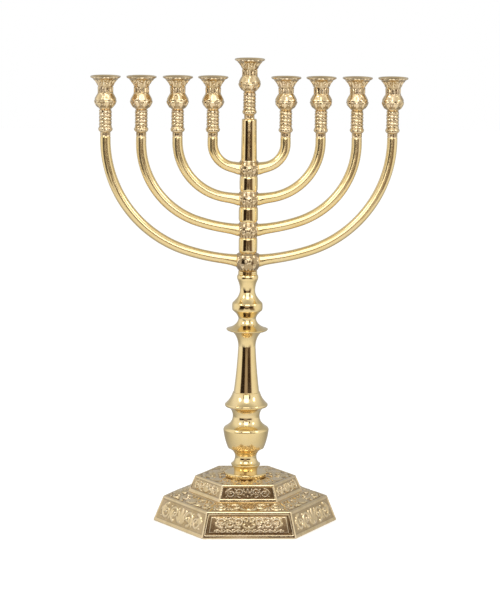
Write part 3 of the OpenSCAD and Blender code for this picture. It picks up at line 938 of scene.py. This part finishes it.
upper_parts = [
    (None, (inner_up + 0.4, 24.0), (ledge_in - 1.2, 24.0), 1.5, 1.5),
    (None, (ledge_in - 1.2, 24.0), (ledge_in - 1.0, z_ledge + 0.3), 0.4, 1.5),
    (None, (ledge_in - 1.0, z_ledge + 0.3), (foot + 0.1, z_foot - 0.3), 0.4, 1.5),
    ("upper", (foot + 0.1, z_foot - 0.3), (upper_top + 0.2, TOP_Z - 0.5), FINE * 0.85, 1.5),
    (None, (upper_top + 0.2, TOP_Z - 0.5), (upper_top - 0.3, TOP_Z - 0.08), 0.3, 1.5),
    (None, (upper_top - 0.3, TOP_Z - 0.08), (upper_top - 0.9, TOP_Z), 0.3, 1.5),
    ("top", (upper_top - 0.9, TOP_Z), (seat_r, TOP_Z), FINE, 1.4),
    (None, (seat_r, TOP_Z), (hole_r, TOP_Z), 3.5, 1.0),
    (None, (hole_r, TOP_Z), (hole_r, z_boss), 3, 1.0),
    (None, (hole_r, z_boss), (boss_r, z_boss), 3, 1.0),
    (None, (boss_r, z_boss), (boss_r + 0.2, z_ceiling), 2, 1.0),
    (None, (boss_r + 0.2, z_ceiling), (upper_top - WALL, z_ceiling), 3, 1.2),
    (None, (upper_top - WALL, z_ceiling), (inner_up + 0.4, 24.0), 2.5, 1.2),
]
profile, rounds, regions = ring_rows(upper_parts)
upper = loft("base_upper_tier", profile, rounds, regions, 6)
finish_piece(upper, "stand", "cast_brass", CAST, "base")


# ---------------------------------------------------------------- stage, light and camera

FLOOR_GLOW = 0.42
reach, floor_z = 3, -0.0002
floor_mesh = bpy.data.meshes.new("floor")
floor_mesh.from_pydata([(-reach, -reach, floor_z), (reach, -reach, floor_z),
                        (reach, reach, floor_z), (-reach, reach, floor_z)], [], [(0, 1, 2, 3)])
floor = bpy.data.objects.new("floor", floor_mesh)
bpy.context.scene.collection.objects.link(floor)
pale = bpy.data.materials.new("floor")
pale.use_nodes = True
floor_mesh.materials.append(pale)

# the camera sees an even floor; the brass mirrors one that glows in front and fades away
tree = pale.node_tree
lit = tree.nodes["Principled BSDF"]
lit.inputs["Base Color"].default_value = (0.9, 0.9, 0.9, 1)
lit.inputs["Roughness"].default_value = 0.9
lit.inputs["Specular IOR Level"].default_value = 0.0
lit.inputs["Emission Color"].default_value = (1, 1, 1, 1)
lit.inputs["Emission Strength"].default_value = FLOOR_GLOW
place = tree.nodes.new("ShaderNodeTexCoord").outputs["Object"]
y = add(tree, "SeparateXYZ", {"Vector": place})
glow = add(tree, "Emission", {"Color": (1, 0.98, 0.95, 1), "Strength": add(
    tree, "MapRange", {"Value": y.outputs["Y"], "From Min": -0.2, "From Max": 0.15, "To Min": 1.0,
                       "To Max": FLOOR_GLOW}, interpolation_type="SMOOTHSTEP").outputs[0]})
far = add(tree, "VectorMath", {0: place}, operation="LENGTH").outputs["Value"]
far = add(tree, "MapRange", {"Value": far, "From Min": 0.3, "From Max": 0.8}).outputs[0]
clear = add(tree, "BsdfTransparent")
dull = add(tree, "MixShader", {0: far, 1: glow.outputs[0], 2: clear.outputs[0]})
seen = tree.nodes.new("ShaderNodeLightPath").outputs["Is Camera Ray"]
both = add(tree, "MixShader", {0: seen, 1: dull.outputs[0], 2: lit.outputs[0]})
tree.links.new(both.outputs[0], tree.nodes["Material Output"].inputs["Surface"])

scene = bpy.context.scene
world = bpy.data.worlds.new("studio")
scene.world = world
world.use_nodes = True
tree = world.node_tree
tree.nodes.clear()
direction = tree.nodes.new("ShaderNodeTexCoord").outputs["Generated"]
xyz = add(tree, "SeparateXYZ", {"Vector": direction})
flip = add(tree, "Math", {0: xyz.outputs["Y"], 1: -1.0}, operation="MULTIPLY").outputs[0]
azim = add(tree, "Math", {0: xyz.outputs["X"], 1: flip}, operation="ARCTAN2").outputs[0]
elev = add(tree, "Math", {0: xyz.outputs["Z"]}, operation="ARCSINE").outputs[0]


def smooth(value, a, b):
    """0 at a, 1 at b, with soft ends."""
    return add(tree, "MapRange", {"Value": value, "From Min": a, "From Max": b, "To Min": 0.0,
                                  "To Max": 1.0}, interpolation_type="SMOOTHSTEP").outputs[0]


def times(a, b, op="MULTIPLY"):
    """The product of two values, or what else op says."""
    return add(tree, "Math", {0: a, 1: b}, operation=op).outputs[0]


def band(value, a, b, c, d):
    """1 between b and c, 0 below a and above d."""
    return times(smooth(value, a, b), smooth(value, d, c))


# A pale room, by azimuth and elevation in radians from straight in front: a low dark opening split
# by a lighter gap, a dark lintel above it, and dimmer walls behind and to the right
drift = times(smooth(elev, -0.06, -0.4), 0.28)
left = times(band(times(azim, drift, "ADD"), -1.16, -0.98, -0.42, -0.3),
             band(elev, -0.5, -0.38, 0.12, 0.24))
right = times(band(times(azim, drift, "SUBTRACT"), 0.08, 0.18, 0.6, 0.95),
              band(elev, -0.48, -0.35, 0.08, 0.18))
right = times(right, times(times(smooth(elev, -0.12, -0.04), 0.14), 0.8, "ADD"))
gap = times(times(band(elev, -0.24, -0.2, -0.12, -0.06), 0.36),
            times(band(elev, -0.24, -0.2, 0.3, 0.46), 0.5), "ADD")
gap = times(band(azim, -0.42, -0.3, 0.08, 0.18), gap)
lintel = times(times(band(azim, -0.6, -0.45, 0.45, 0.6), band(elev, 0.3, 0.42, 0.66, 0.8)), 0.92)
dark = times(times(left, 0.97), times(right, gap, "ADD"), "ADD")
dark = times(dark, lintel, "ADD")
dark = times(dark, 1.0, "MINIMUM")
back = smooth(times(azim, azim), 3.0, 6.5)
level = times(times(0.98, times(back, 0.42), "SUBTRACT"),
              times(smooth(elev, 0.9, 1.35), 0.42), "SUBTRACT")
level = times(level, times(smooth(azim, 1.3, 2.0), 0.18), "SUBTRACT")
level = times(level, 0.5, "MAXIMUM")
level = times(level, times(1.0, dark, "SUBTRACT"))
tint = mixed(tree, dark, (1.0, 0.99, 0.97, 1), (0.75, 0.45, 0.3, 1))
bg = add(tree, "Background", {"Color": tint, "Strength": level})
plain = add(tree, "Background", {"Color": (1, 1, 1, 1), "Strength": 1.0})
path = tree.nodes.new("ShaderNodeLightPath")
mix = add(tree, "MixShader", {0: path.outputs["Is Camera Ray"], 1: bg.outputs[0],
                              2: plain.outputs[0]})
tree.links.new(mix.outputs[0], tree.nodes.new("ShaderNodeOutputWorld").inputs["Surface"])


def lamp(name, place, aim, size, watts):
    """An area lamp that the camera doesn't see."""
    data = bpy.data.lights.new(name, "AREA")
    data.shape = "RECTANGLE"
    data.size, data.size_y = size
    data.energy = watts
    obj = bpy.data.objects.new(name, data)
    obj.location = place
    obj.rotation_euler = (Vector(aim) - Vector(place)).to_track_quat("-Z", "Y").to_euler()
    obj.visible_camera = False
    scene.collection.objects.link(obj)


lamp("sheet", (-0.02, -0.47, 0.65), (-0.02, 0, 0.65), (0.34, 0.70), 1.6)
lamp("key", (-0.75, -0.45, 0.9), (0, 0, 0.15), (0.22, 0.3), 1.0)
lamp("fill", (0.8, -0.4, 0.8), (0, 0, 0.15), (0.2, 0.3), 0.8)

# the camera, fitted to the photo: 9.4 degrees above level and 3 degrees from the left
eye, aim = Vector((-0.1239, -2.3968, 0.5804)), Vector((0.0021, -0.0001, 0.1837))
ROLL_DEGREES = 0.627
cam_data = bpy.data.cameras.new("camera")
cam_data.lens = 179.45
cam_data.sensor_width = 36
cam_data.clip_end = 20
camera = bpy.data.objects.new("camera", cam_data)
scene.collection.objects.link(camera)
camera.location = eye
look = (aim - eye).to_track_quat("-Z", "Y")
camera.rotation_mode = "QUATERNION"
camera.rotation_quaternion = look @ Quaternion((0, 0, 1), math.radians(ROLL_DEGREES))
scene.camera = camera
scene.view_settings.view_transform = "Standard"
scene.view_settings.look = "None"
